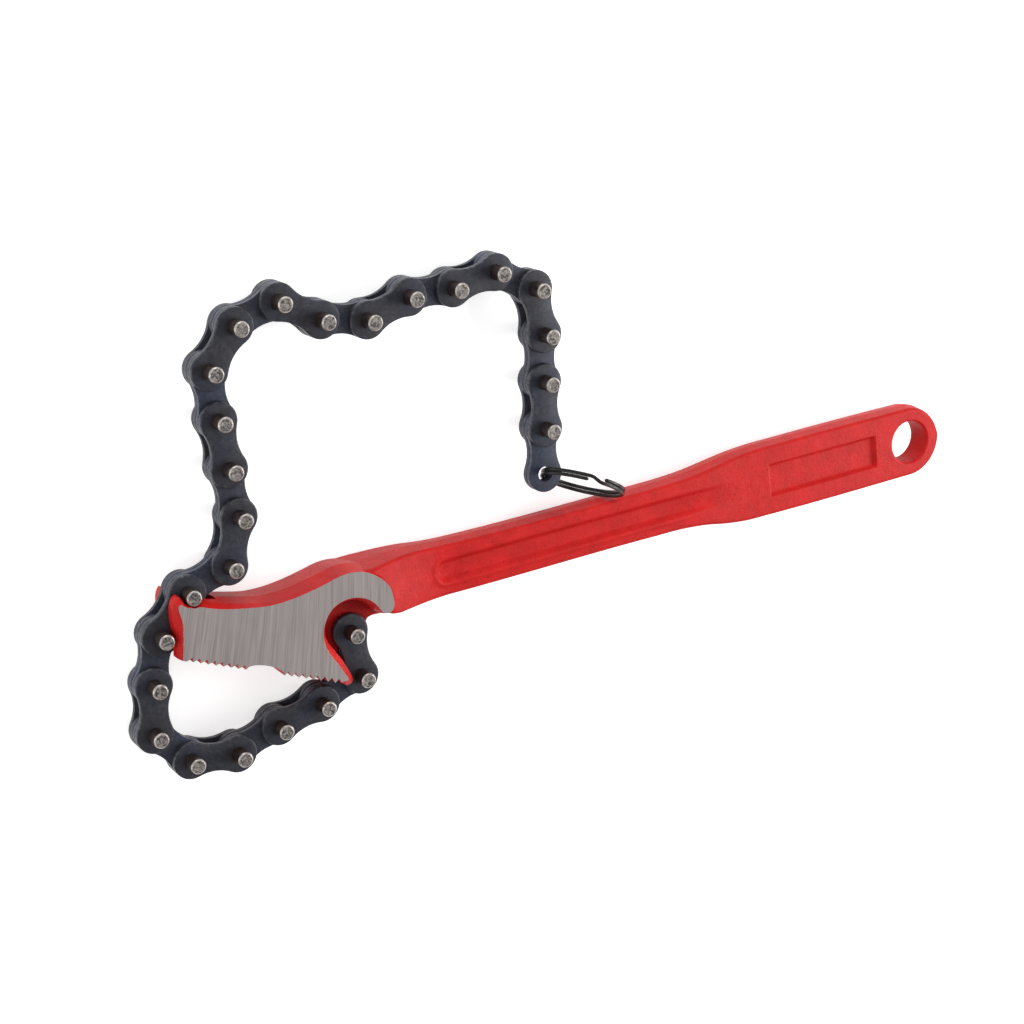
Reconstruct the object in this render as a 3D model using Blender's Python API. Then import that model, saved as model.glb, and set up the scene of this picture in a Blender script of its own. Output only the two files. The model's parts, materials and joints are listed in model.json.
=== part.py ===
"""Chain pipe wrench, 12 inch size.

A forged, red painted handle carries a fork jaw with two toothed cheeks.  A leaf chain is anchored
by its first pin to the thin web between the cheeks.  It wraps the pipe, passes through the fork and
hooks two pin ends behind the horns.  The last link carries a split ring.

The model frame: +X from the jaw to the grip, +Z out of the front cheek, and the origin on the rear
ground cheek, on which the tool lies.  Drawing coordinates below are in millimetres in the plane of
the tool, with their own origin on the anchor pin's axis, at half the thickness.
"""
import math

import bmesh
import bpy
from mathutils import Matrix, Vector

MM = 0.001

# Chain: pitch, plates and pins
PITCH = 15.875
PLATE_END_RADIUS = 6.2
PLATE_WAIST = 9.1
PLATE_THICKNESS = 2.0
PLATE_GAP = 0.1
PIN_DIAMETER = 5.08
PIN_STAND_OUT = 6.0
PIN_CHAMFER = 0.5
BORE_CLEARANCE = 0.15
PIN_SIDES = 12
PLATE_END_STEPS = 9
PLATE_WAIST_STEPS = 3

# Heading of each link in the resting layout, in degrees from +X, from the anchor pin on
LINK_HEADINGS = (
    -84, -159, -167, -162, 171, 131, 82, 73, 47, 19, 70, 93, 94,
    92, 50, 17, -32, -12, 16, -1, 8, -31, -84, -97, -95, -94,
)

# Jaw head: thickness, fork, web and bevels
HEAD_THICKNESS = 21.0
FLANK_DEPTH = 2.5
NECK_FILLET_DEPTH = 5.5
PARTING_BULGE = 0.35
FORK_WIDTH = 9.3
FORK_ROOT_X = -44.0
FORK_ROOT_RADIUS = 6.0
WEB_THICKNESS = 4.1
WEB_LOBE_RADIUS = 6.0
SEAT_CLEARANCE = 0.35

# Jaw teeth, on a line that slopes down to the right
JAW_START = (-57.9, 8.05)
JAW_TILT = -23.7
TOOTH_PITCH = 2.6
TOOTH_DEPTH = 1.15
LEFT_ROW_START = 1.5
LEFT_ROW_TEETH = 8
LEFT_RISE_SHARE = 0.44
RIGHT_ROW_START = 34.8
RIGHT_ROW_TEETH = 8
RIGHT_RISE_SHARE = 0.72
RELIEF_DEPTH = 2.3

# Anchor pocket and hook of the cheeks
POCKET_CENTRE = (-1.3, 2.9)
POCKET_RADIUS = 10.75
HOOK_CENTRE = (0.5, 9.0)
HOOK_RADIUS = 13.1
HOOK_TIP_RADIUS = 2.2

# Handle: shank, flare and grip
AXIS_Y = 12.0
NECK_START_X = 9.0
NECK_END_X = 34.0
NECK_THICKNESS = 13.6
NECK_EXTRA_WIDTH = 1.2
SHANK_WIDTH = 17.2
SHANK_THICKNESS = 11.0
FLARE_START_X = 129.0
FLARE_END_X = 156.0
GRIP_WIDTH = 25.2
GRIP_THICKNESS = 10.0
HANG_HOLE_X = 226.4
HANG_HOLE_DIAMETER = 15.4
HOLE_RIM = 0.8
EDGE_BREAK = 1.7
RIM_WIDTH = 3.0
GROOVE_START_X = 31.5
GROOVE_END_X = 154.0
GROOVE_DEPTH = 1.5
GROOVE_RUN_IN = 3.5
GROOVE_RUN_OUT = 6.0
GROOVE_SLOPE = 1.6
RECESS_START_X = 164.5
RECESS_END_X = 211.0
RECESS_WIDTH = 12.2
RECESS_DEPTH = 1.4

# Split ring
RING_DIAMETER = 29.0
RING_WIRE_WIDTH = 1.0
RING_WIRE_DEPTH = 1.0
RING_TURN_GAP = 0.1
RING_STEPS = 30
RING_END_GAP = 22.0
RING_SHANK_CLEARANCE = 0.97
RING_START = 60.0
RING_LEAN = 13.0
RING_ROLL = 29.0

# Values that follow from the ones above
PIN_RADIUS = PIN_DIAMETER / 2
BORE_RADIUS = (PIN_RADIUS + BORE_CLEARANCE * 0.5) / math.cos(math.pi / PIN_SIDES)
INNER_TOP = PLATE_GAP / 2 + PLATE_THICKNESS
OUTER_BOTTOM = INNER_TOP + PLATE_GAP
OUTER_TOP = OUTER_BOTTOM + PLATE_THICKNESS
PIN_END = OUTER_TOP + PIN_STAND_OUT
HALF_HEAD = HEAD_THICKNESS / 2
ORIGIN_XY = (-32.0, 9.0)

RED = (0.61, 0.020, 0.022, 1.0)
BLUED = (0.031, 0.038, 0.055, 1.0)
PIN_STEEL = (0.30, 0.28, 0.27, 1.0)
BLACK_WIRE = (0.016, 0.014, 0.014, 1.0)


def material(name, colour, roughness, metallic):
    """A plain Principled material."""
    made = bpy.data.materials.new(name)
    made.use_nodes = True
    shader = made.node_tree.nodes["Principled BSDF"]
    shader.inputs["Base Color"].default_value = colour
    shader.inputs["Roughness"].default_value = roughness
    shader.inputs["Metallic"].default_value = metallic
    return made


def arc(centre, radius, start, end, steps):
    """Points on an arc from start to end degrees, both ends included."""
    angles = [math.radians(start + (end - start) * i / steps) for i in range(steps + 1)]
    return [(centre[0] + radius * math.cos(a), centre[1] + radius * math.sin(a)) for a in angles]


def spline(points, steps):
    """A Catmull-Rom curve through the points, with so many steps between neighbours."""
    padded = [points[0]] + list(points) + [points[-1]]
    curve = []
    for a, b, c, d in zip(padded, padded[1:], padded[2:], padded[3:]):
        for i in range(steps):
            t = i / steps
            curve.append(tuple(
                0.5 * (2 * q + (r - p) * t + (2 * p - 5 * q + 4 * r - s) * t * t
                       + (3 * q - p - 3 * r + s) * t ** 3)
                for p, q, r, s in zip(a, b, c, d)
            ))
    curve.append(tuple(points[-1]))
    return curve


def smoothstep(x, low, high):
    """0 below low, 1 above high, and a smooth rise between."""
    t = min(max((x - low) / (high - low), 0.0), 1.0)
    return t * t * (3 - 2 * t)


def ring_of(bm, points, z):
    """A loop of vertices at height z, all in millimetres."""
    return [bm.verts.new((x * MM, y * MM, z * MM)) for x, y in points]


def bridge(bm, lower, upper):
    """Quads between two loops of as many vertices."""
    for i in range(len(lower)):
        j = (i + 1) % len(lower)
        bm.faces.new((lower[i], lower[j], upper[j], upper[i]))


def fill(bm, loops):
    """Triangles between an outline and the loops inside it."""
    edges = []
    for loop in loops:
        for i in range(len(loop)):
            pair = (loop[i - 1], loop[i])
            edges.append(bm.edges.get(pair) or bm.edges.new(pair))
    bmesh.ops.triangle_fill(bm, use_beauty=True, use_dissolve=False, edges=edges)


def finish(bm, name, finish_material, smooth_angle=32.0):
    """The bmesh as an object, its faces pointing out and its round walls shaded smooth."""
    bmesh.ops.recalc_face_normals(bm, faces=bm.faces)
    mesh = bpy.data.meshes.new(name)
    bm.to_mesh(mesh)
    bm.free()
    mesh.materials.append(finish_material)
    mesh.shade_smooth()
    mesh.set_sharp_from_angle(angle=math.radians(smooth_angle))
    made = bpy.data.objects.new(name, mesh)
    bpy.context.collection.objects.link(made)
    return made


def copy_of(original, name):
    """Another object on the same mesh."""
    made = bpy.data.objects.new(name, original.data)
    bpy.context.collection.objects.link(made)
    return made


def plate_outline():
    """The figure-of-eight outline of a link plate, its first pin at the origin and its second at +X."""
    rise = PLATE_END_RADIUS - PLATE_WAIST / 2
    half = PITCH / 2
    reach = (half ** 2 - rise ** 2) / (2 * rise)
    waist_radius = reach - PLATE_WAIST / 2
    tangent = math.degrees(math.atan2(reach, half))
    waist_swing = 90 - tangent
    right = arc((PITCH, 0), PLATE_END_RADIUS, -(180 - tangent), 180 - tangent, PLATE_END_STEPS)
    top = arc((half, reach), waist_radius, -90 + waist_swing, -90 - waist_swing, PLATE_WAIST_STEPS)
    left = arc((0, 0), PLATE_END_RADIUS, tangent, 360 - tangent, PLATE_END_STEPS)
    bottom = arc((half, -reach), waist_radius, 90 + waist_swing, 90 - waist_swing, PLATE_WAIST_STEPS)
    return right + top[1:-1] + left + bottom[1:-1]


def circle(centre_x, radius, sides=PIN_SIDES):
    """A regular polygon round a pin's axis."""
    return arc((centre_x, 0), radius, 0, 360, sides)[:-1]


def bored_plate(name, bottom, top, steel):
    """A link plate with two pin bores, between two heights."""
    bm = bmesh.new()
    ends = []
    for z in (bottom, top):
        outline = ring_of(bm, plate_outline(), z)
        bores = [ring_of(bm, circle(x, BORE_RADIUS), z) for x in (0, PITCH)]
        ends.append([outline] + bores)
    for lower, upper in zip(*ends):
        bridge(bm, lower, upper)
    for loops in ends:
        fill(bm, loops)
    return finish(bm, name, steel)


def pinned_plate(name, steel):
    """A front outer plate with its two pins pressed in, the pins standing out on both sides."""
    bm = bmesh.new()
    ends = []
    for z in (OUTER_BOTTOM, OUTER_TOP):
        outline = ring_of(bm, plate_outline(), z)
        pins = [ring_of(bm, circle(x, PIN_RADIUS), z) for x in (0, PITCH)]
        ends.append([outline] + pins)
    bridge(bm, ends[0][0], ends[1][0])
    for loops, tip in zip(ends, (-PIN_END, PIN_END)):
        fill(bm, loops)
        shoulder = tip - math.copysign(PIN_CHAMFER, tip)
        for root, x in zip(loops[1:], (0, PITCH)):
            side = ring_of(bm, circle(x, PIN_RADIUS), shoulder)
            rim = ring_of(bm, circle(x, PIN_RADIUS - PIN_CHAMFER), tip)
            bridge(bm, root, side)
            bridge(bm, side, rim)
            bm.faces.new(rim)
    return finish(bm, name, steel)


def jaw_point(along, above):
    """A point given along the tooth line from its left end, and square to it into the head."""
    tilt = math.radians(JAW_TILT)
    return (
        JAW_START[0] + along * math.cos(tilt) - above * math.sin(tilt),
        JAW_START[1] + along * math.sin(tilt) + above * math.cos(tilt),
    )


def tooth_row(start, count, rise_share):
    """A row of raked teeth along the tooth line, from its first root on; the share says how much of
    the pitch the flank from root to point takes."""
    points = []
    for i in range(count):
        root = start + i * TOOTH_PITCH
        points.append(jaw_point(root, TOOTH_DEPTH))
        points.append(jaw_point(root + TOOTH_PITCH * rise_share, 0))
    return points


def relief_arc(start, end):
    """The plain hollow between the two rows."""
    middle = (start + end) / 2
    half = (end - start) / 2
    angles = [math.radians(a) for a in (-60, -36, -12, 12, 36, 60)]
    return [jaw_point(middle + half * math.sin(a), RELIEF_DEPTH * math.cos(a)) for a in angles]


def head_outline():
    """The ground face's outline, counter-clockwise, as (point, bevel, fillet): how far the painted
    flank stands outside it just below the ground face, and how much further at the neck's height."""
    left_row = tooth_row(LEFT_ROW_START, LEFT_ROW_TEETH, LEFT_RISE_SHARE)
    right_first = RIGHT_ROW_START - TOOTH_PITCH * (1 - RIGHT_RISE_SHARE)
    left_last = LEFT_ROW_START + TOOTH_PITCH * (LEFT_ROW_TEETH - 1 + LEFT_RISE_SHARE)
    right_row = tooth_row(RIGHT_ROW_START, RIGHT_ROW_TEETH, RIGHT_RISE_SHARE)
    jaw = [jaw_point(0, 0)] + left_row + relief_arc(left_last, right_first)
    jaw += [jaw_point(right_first, 0)] + right_row
    jaw = [(p, 0.0, 0.0) for p in jaw]
    tip = [((-5.6, -12.9), 0.5, 0.0)]
    wall = arc(POCKET_CENTRE, POCKET_RADIUS, 196, 26, 13)
    pocket = [(p, 1.35, 0.0) for p in wall[:-2]] + [(p, 0.7, 0.0) for p in wall[-2:]]
    hook_tip = [(p, 0.3, 0.0) for p in arc((11.6, 8.2), HOOK_TIP_RADIUS, -110, 10, 4)]
    hook = [(p, 0.8, 4.0) for p in arc(HOOK_CENTRE, HOOK_RADIUS, 8, 70, 5)]
    top = [
        (p, 0.2 + 1.1 * smoothstep(-p[0], 5.0, 40.0), 0.0)
        for p in spline([(0.5, 22.0), (-7.6, 20.7), (-16.0, 18.9), (-23.5, 18.1), (-32.0, 18.9),
                         (-41.0, 20.6), (-49.5, 23.2)], 2)
    ]
    horn = [((-53.6, 24.2), 0.3, 0.0), ((-55.6, 25.2), 1.2, 0.0), ((-56.8, 26.1), 2.6, 0.0),
            ((-57.8, 26.0), 2.4, 0.0), ((-57.8, 24.6), 2.2, 0.0)]
    left_end = [((-57.3, 20.5), 2.3, 0.0), ((-58.1, 15.0), 1.6, 0.0), ((-58.9, 10.4), 1.1, 0.0)]
    return jaw + tip + pocket + hook_tip + hook + top + horn + left_end


def offset_outline(outline, amounts):
    """Each point of a closed outline moved outwards, square to the line through its neighbours."""
    moved = []
    count = len(outline)
    for i, amount in enumerate(amounts):
        before = Vector(outline[i - 1])
        after = Vector(outline[(i + 1) % count])
        along = (after - before).normalized()
        moved.append(tuple(Vector(outline[i]) + Vector((along.y, -along.x)) * amount))
    return moved


def head_body():
    """The jaw head: a stack of outlines from one ground face over the painted flanks to the other."""
    outline = head_outline()
    ground = [p for p, bevel, fillet in outline]
    flank = offset_outline(ground, [bevel for p, bevel, fillet in outline])
    neck = offset_outline(ground, [bevel + fillet for p, bevel, fillet in outline])
    parting = offset_outline(
        ground, [bevel + fillet + (PARTING_BULGE if bevel else 0.0) for p, bevel, fillet in outline])
    stack = [(-HALF_HEAD, ground), (-HALF_HEAD + FLANK_DEPTH, flank), (-NECK_FILLET_DEPTH, neck),
             (0.0, parting), (NECK_FILLET_DEPTH, neck), (HALF_HEAD - FLANK_DEPTH, flank),
             (HALF_HEAD, ground)]
    bm = bmesh.new()
    rings = [ring_of(bm, points, z) for z, points in stack]
    for lower, upper in zip(rings, rings[1:]):
        bridge(bm, lower, upper)
    fill(bm, [rings[0]])
    fill(bm, [rings[-1]])
    bmesh.ops.triangulate(bm, faces=bm.faces)
    return bm


def prism(points, bottom, top):
    """A straight prism over an outline."""
    bm = bmesh.new()
    lower = ring_of(bm, points, bottom)
    upper = ring_of(bm, points, top)
    bridge(bm, lower, upper)
    fill(bm, [lower])
    fill(bm, [upper])
    return bm


def web_outline():
    """The thin web in the pocket: a lobe round the anchor pin, tied into the head and the neck."""
    lobe = arc((0, 0), WEB_LOBE_RADIUS, 22, -150, 10)
    return [(15.0, 3.2)] + lobe + [(-12.5, -3.0), (-14.5, 8.0), (-6.0, 17.0), (8.0, 17.5), (15.0, 10.0)]


def handle_section(x):
    """Half the width, half the thickness and the groove's depth at x."""
    flare = smoothstep(x, FLARE_START_X, FLARE_END_X)
    neck = smoothstep(x, NECK_START_X, NECK_END_X)
    width = SHANK_WIDTH + (GRIP_WIDTH - SHANK_WIDTH) * flare + NECK_EXTRA_WIDTH * (1 - neck)
    thickness = NECK_THICKNESS + (SHANK_THICKNESS - NECK_THICKNESS) * neck
    thickness += (GRIP_THICKNESS - SHANK_THICKNESS) * flare
    groove = GROOVE_DEPTH * smoothstep(x, GROOVE_START_X, GROOVE_START_X + GROOVE_RUN_IN)
    groove *= 1 - smoothstep(x, FLARE_START_X - GROOVE_RUN_OUT, GROOVE_END_X)
    end = x - HANG_HOLE_X
    if end > 0:
        width *= math.sqrt(max(1 - (2 * end / GRIP_WIDTH) ** 2, 0.0))
    return width / 2, thickness / 2, groove


def handle_body():
    """The shank and grip: sections along X, with broken edges, rims and a groove on both faces."""
    grip_end = [HANG_HOLE_X + GRIP_WIDTH / 2 * math.sin(math.radians(a)) for a in range(0, 91, 15)]
    grip_end[-1] -= 0.12
    stations = [NECK_START_X, 14.0, 20.0, 26.0, GROOVE_START_X, GROOVE_START_X + 1.2,
                GROOVE_START_X + 2.4, GROOVE_START_X + 3.6, 60.0, 95.0, FLARE_START_X - GROOVE_RUN_OUT]
    stations += [FLARE_START_X + (FLARE_END_X - FLARE_START_X) * i / 6 for i in range(7)]
    stations += [RECESS_START_X - 2.0, 190.0] + grip_end
    bm = bmesh.new()
    rings = []
    for x in stations:
        half_width, half_thick, groove = handle_section(x)
        edge = min(EDGE_BREAK, half_width * 0.4)
        rim = max(half_width - edge - RIM_WIDTH, half_width * 0.3)
        floor = max(rim - GROOVE_SLOPE, half_width * 0.15)
        profile = [
            (half_width, 0.0),
            (half_width - 0.15, half_thick - edge),
            (half_width - edge * 0.35, half_thick - edge * 0.35),
            (half_width - edge, half_thick),
            (rim, half_thick),
            (floor, half_thick - groove),
        ]
        front = profile + [(-y, z) for y, z in reversed(profile)]
        rear = [(y, -z) for y, z in reversed(front[1:-1])]
        rings.append([bm.verts.new((x * MM, (AXIS_Y + y) * MM, z * MM)) for y, z in front + rear])
    for lower, upper in zip(rings, rings[1:]):
        bridge(bm, lower, upper)
    bm.faces.new(rings[0])
    bm.faces.new(rings[-1])
    return bm


def cutter(bm, name):
    """A guide solid for a Boolean, which isn't part of the object."""
    made = finish(bm, name, bpy.data.materials["red_paint"])
    made.hide_render = True
    made.display_type = "WIRE"
    return made


def fork_cutter():
    """The chain's slot through the left end: open to the left, top and bottom, its root rounded."""
    root = arc((FORK_ROOT_X - FORK_ROOT_RADIUS, 20.0), FORK_ROOT_RADIUS, 0, 60, 4)
    outline = [(-75.0, 40.0), (-75.0, -10.0), (FORK_ROOT_X - 2.0, -10.0), (FORK_ROOT_X, 4.0)]
    outline += [root[0], (FORK_ROOT_X + 2.5, 40.0)]
    return cutter(prism(outline, -FORK_WIDTH / 2, FORK_WIDTH / 2), "fork_cutter")


def round_cutter(name, centre, radius, half_height, sides):
    """A cylinder along Z."""
    return cutter(prism(arc(centre, radius, 0, 360, sides)[:-1], -half_height, half_height), name)


def recess_cutter(name, side):
    """The bare sunk panel of the grip, its walls sloping at 45 degrees."""
    surface = side * GRIP_THICKNESS / 2
    half = RECESS_WIDTH / 2
    bm = bmesh.new()
    rings = []
    for z, grow in ((surface - side * RECESS_DEPTH, -RECESS_DEPTH), (surface + side * 1.0, 1.0)):
        corners = [(RECESS_START_X - grow, AXIS_Y - half - grow), (RECESS_END_X + grow, AXIS_Y - half - grow),
                   (RECESS_END_X + grow, AXIS_Y + half + grow), (RECESS_START_X - grow, AXIS_Y + half + grow)]
        rings.append(ring_of(bm, corners, z))
    bridge(bm, *rings)
    bm.faces.new(rings[0])
    bm.faces.new(rings[1])
    return cutter(bm, name)


def hole_cutter():
    """The hang hole with its broken rims."""
    radius = HANG_HOLE_DIAMETER / 2
    half = GRIP_THICKNESS / 2
    levels = [(-half - 1.0, radius + HOLE_RIM + 1.0), (-half + HOLE_RIM, radius),
              (half - HOLE_RIM, radius), (half + 1.0, radius + HOLE_RIM + 1.0)]
    bm = bmesh.new()
    rings = [ring_of(bm, arc((HANG_HOLE_X, AXIS_Y), r, 0, 360, 24)[:-1], z) for z, r in levels]
    for lower, upper in zip(rings, rings[1:]):
        bridge(bm, lower, upper)
    bm.faces.new(rings[0])
    bm.faces.new(rings[-1])
    return cutter(bm, "hang_hole_cutter")


def boolean(target, tool, operation):
    """One live Boolean on the target."""
    step = target.modifiers.new(tool.name, "BOOLEAN")
    step.operation = operation
    step.solver = "EXACT"
    step.object = tool


def build_handle(frame):
    """The handle: head, web and shank joined, then the fork, bores and recesses cut."""
    red = material("red_paint", RED, 0.45, 0.0)
    handle = finish(head_body(), "handle", red)
    web = cutter(prism(web_outline(), -WEB_THICKNESS / 2, WEB_THICKNESS / 2), "web_solid")
    shank = cutter(handle_body(), "shank_solid")
    seat = hook_pin_centre()
    tools = [
        (shank, "UNION"),
        (web, "UNION"),
        (fork_cutter(), "DIFFERENCE"),
        (round_cutter("seat_cutter", seat, PIN_RADIUS + SEAT_CLEARANCE, HALF_HEAD + 1, 20), "DIFFERENCE"),
        (round_cutter("anchor_cutter", (0, 0), BORE_RADIUS, HALF_HEAD + 1, PIN_SIDES), "DIFFERENCE"),
        (hole_cutter(), "DIFFERENCE"),
        (recess_cutter("front_recess_cutter", 1), "DIFFERENCE"),
        (recess_cutter("rear_recess_cutter", -1), "DIFFERENCE"),
    ]
    for tool, operation in tools:
        tool.parent = frame
        boolean(handle, tool, operation)
    handle.parent = frame


def pin_centres():
    """The pins' centres in drawing coordinates, from the anchor pin to the end hole."""
    centres = [Vector((0.0, 0.0))]
    for heading in LINK_HEADINGS:
        a = math.radians(heading)
        centres.append(centres[-1] + PITCH * Vector((math.cos(a), math.sin(a))))
    return centres


def hook_pin_centre():
    """The centre of the pin whose ends rest behind the horns."""
    return tuple(pin_centres()[9])


def build_chain(frame):
    """Each link hangs on an empty on its first pin's axis, turned against the link before it."""
    blued = material("blued_steel", BLUED, 0.42, 0.85)
    parent = frame
    heading_before = 0.0
    shared = {}
    for number, heading in enumerate(LINK_HEADINGS, start=1):
        hinge = bpy.data.objects.new(f"link_{number:02d}_hinge", None)
        hinge.empty_display_size = 0.004
        bpy.context.collection.objects.link(hinge)
        hinge.parent = parent
        hinge.location = (0, 0, 0) if parent is frame else (PITCH * MM, 0, 0)
        hinge.rotation_euler = (0, 0, math.radians(heading - heading_before))
        if number % 2:
            pieces = {
                "pinned_plate": lambda name: pinned_plate(name, blued),
                "rear_plate": lambda name: bored_plate(name, -OUTER_TOP, -OUTER_BOTTOM, blued),
            }
        else:
            pieces = {
                "front_plate": lambda name: bored_plate(name, PLATE_GAP / 2, INNER_TOP, blued),
                "back_plate": lambda name: bored_plate(name, -INNER_TOP, -PLATE_GAP / 2, blued),
            }
        for kind, make in pieces.items():
            name = f"link_{number:02d}_{kind}"
            plate = copy_of(shared[kind], name) if kind in shared else make(name)
            shared.setdefault(kind, plate)
            plate.parent = hinge
        parent = hinge
        heading_before = heading
    return parent


def ring_wire():
    """The coil of a split ring: two turns side by side, crossing over once, as section centres with
    the axial offset of the wire, by angle round the ring."""
    turn_step = (RING_WIRE_WIDTH + RING_TURN_GAP) / 2
    sweep = 2 * 360.0 - RING_END_GAP
    cross_half = RING_END_GAP * 0.42
    for i in range(2 * RING_STEPS + 1):
        angle = sweep * i / (2 * RING_STEPS)
        side = 2 * smoothstep(angle, sweep / 2 - cross_half, sweep / 2 + cross_half) - 1
        yield math.radians(angle), side * turn_step


def ring_heading(middle):
    """The heading at which the ring's far rim stops short of the shank's edge, in degrees from +X."""
    reach = middle * (1 + math.cos(math.radians(RING_ROLL)))
    drop = pin_centres()[-1].y - (AXIS_Y + SHANK_WIDTH / 2) - RING_SHANK_CLEARANCE
    across = math.sqrt(max(reach ** 2 - drop ** 2, 0.0))
    return -math.degrees(math.atan2(drop, across))


def build_ring(last_link):
    """The split ring through the end hole, turning on the hole's axis."""
    wire = material("black_wire", BLACK_WIRE, 0.35, 0.8)
    swivel = bpy.data.objects.new("split_ring_swivel", None)
    swivel.empty_display_size = 0.006
    bpy.context.collection.objects.link(swivel)
    swivel.parent = last_link
    swivel.location = (PITCH * MM, 0, 0)
    middle = RING_DIAMETER / 2 - RING_WIRE_DEPTH / 2
    swivel.rotation_euler = (0, 0, math.radians(ring_heading(middle) - LINK_HEADINGS[-1]))
    start = math.radians(RING_START)
    bm = bmesh.new()
    rings = []
    for angle, offset in ring_wire():
        section = []
        for along, out in ((-1, -1), (1, -1), (1, 1), (-1, 1)):
            r = middle + out * RING_WIRE_DEPTH / 2
            y = offset + along * RING_WIRE_WIDTH / 2
            section.append(bm.verts.new(
                (r * math.cos(angle + start) * MM, y * MM, r * math.sin(angle + start) * MM)))
        rings.append(section)
    for lower, upper in zip(rings, rings[1:]):
        bridge(bm, lower, upper)
    bm.faces.new(rings[0])
    bm.faces.new(rings[-1])
    turned = Matrix.Rotation(math.radians(-RING_LEAN), 4, "X")
    roll = math.radians(RING_ROLL)
    shift = Matrix.Translation(Vector((middle * math.cos(roll), 0, middle * math.sin(roll))) * MM)
    bmesh.ops.transform(bm, matrix=turned @ shift, verts=bm.verts)
    finish(bm, "split_ring", wire).parent = swivel


def main():
    for old in list(bpy.data.objects):
        bpy.data.objects.remove(old, do_unlink=True)
    frame = bpy.data.objects.new("wrench_frame", None)
    bpy.context.collection.objects.link(frame)
    frame.location = (-ORIGIN_XY[0] * MM, -ORIGIN_XY[1] * MM, HALF_HEAD * MM)
    build_handle(frame)
    build_ring(build_chain(frame))


main()
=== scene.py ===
"""Chain pipe wrench, 12 inch size: the forging, the leaf chain and the split ring in their finishes.

Drawing coordinates are in millimetres in the plane of the tool, from the anchor pin's axis at half the
thickness: X runs towards the grip, Z out of the front cheek.  Links, pins and ring take their places
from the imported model's joints.
"""
import json
import math

import bmesh
import bpy
import numpy as np
from bpy.props import FloatProperty, FloatVectorProperty, IntProperty, PointerProperty
from mathutils import Matrix, Vector

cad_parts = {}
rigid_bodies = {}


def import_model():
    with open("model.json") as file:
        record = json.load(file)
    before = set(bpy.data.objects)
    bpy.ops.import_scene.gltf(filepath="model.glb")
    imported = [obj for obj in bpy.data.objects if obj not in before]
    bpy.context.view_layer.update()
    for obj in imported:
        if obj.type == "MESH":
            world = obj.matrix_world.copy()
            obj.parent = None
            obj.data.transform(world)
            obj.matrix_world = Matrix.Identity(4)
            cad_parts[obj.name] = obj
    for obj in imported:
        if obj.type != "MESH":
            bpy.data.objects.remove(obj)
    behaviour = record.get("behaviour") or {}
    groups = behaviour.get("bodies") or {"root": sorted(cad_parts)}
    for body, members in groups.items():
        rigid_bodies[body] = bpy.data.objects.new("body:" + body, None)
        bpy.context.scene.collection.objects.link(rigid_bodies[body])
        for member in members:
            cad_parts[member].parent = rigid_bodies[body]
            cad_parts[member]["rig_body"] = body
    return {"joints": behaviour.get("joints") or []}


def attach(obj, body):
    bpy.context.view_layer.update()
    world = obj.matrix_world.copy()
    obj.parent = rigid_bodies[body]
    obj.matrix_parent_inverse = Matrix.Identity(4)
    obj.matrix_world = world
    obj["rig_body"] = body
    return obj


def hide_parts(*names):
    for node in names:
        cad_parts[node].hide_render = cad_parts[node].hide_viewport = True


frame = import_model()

bl_info = {
    "name": "Chain Pipe Wrench",
    "version": (1, 0, 0),
    "blender": (4, 5, 0),
    "location": "3D View > Sidebar > Wrench",
    "description": "Builds the forging, chain and split ring of a 12 inch chain pipe wrench",
    "category": "Add Mesh",
}

MM = 0.001
for spare in [o for o in bpy.data.objects if "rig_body" not in o and o.type in {"MESH", "LIGHT", "CAMERA"}]:
    bpy.data.objects.remove(spare, do_unlink=True)
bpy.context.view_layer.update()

JOINTS = {joint["name"]: joint for joint in frame["joints"]}
ANCHOR = np.array(JOINTS["link_01_hinge"]["pos_m"])
LINKS = sum(1 for name in JOINTS if name.startswith("link_"))
PINS = np.array([JOINTS[f"link_{n:02d}_hinge"]["pos_m"] for n in range(1, LINKS + 1)]
                + [JOINTS["split_ring_swivel"]["pos_m"]])
PITCH = float(np.linalg.norm(PINS[1] - PINS[0]))
HOOKED_PIN = 10

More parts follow.
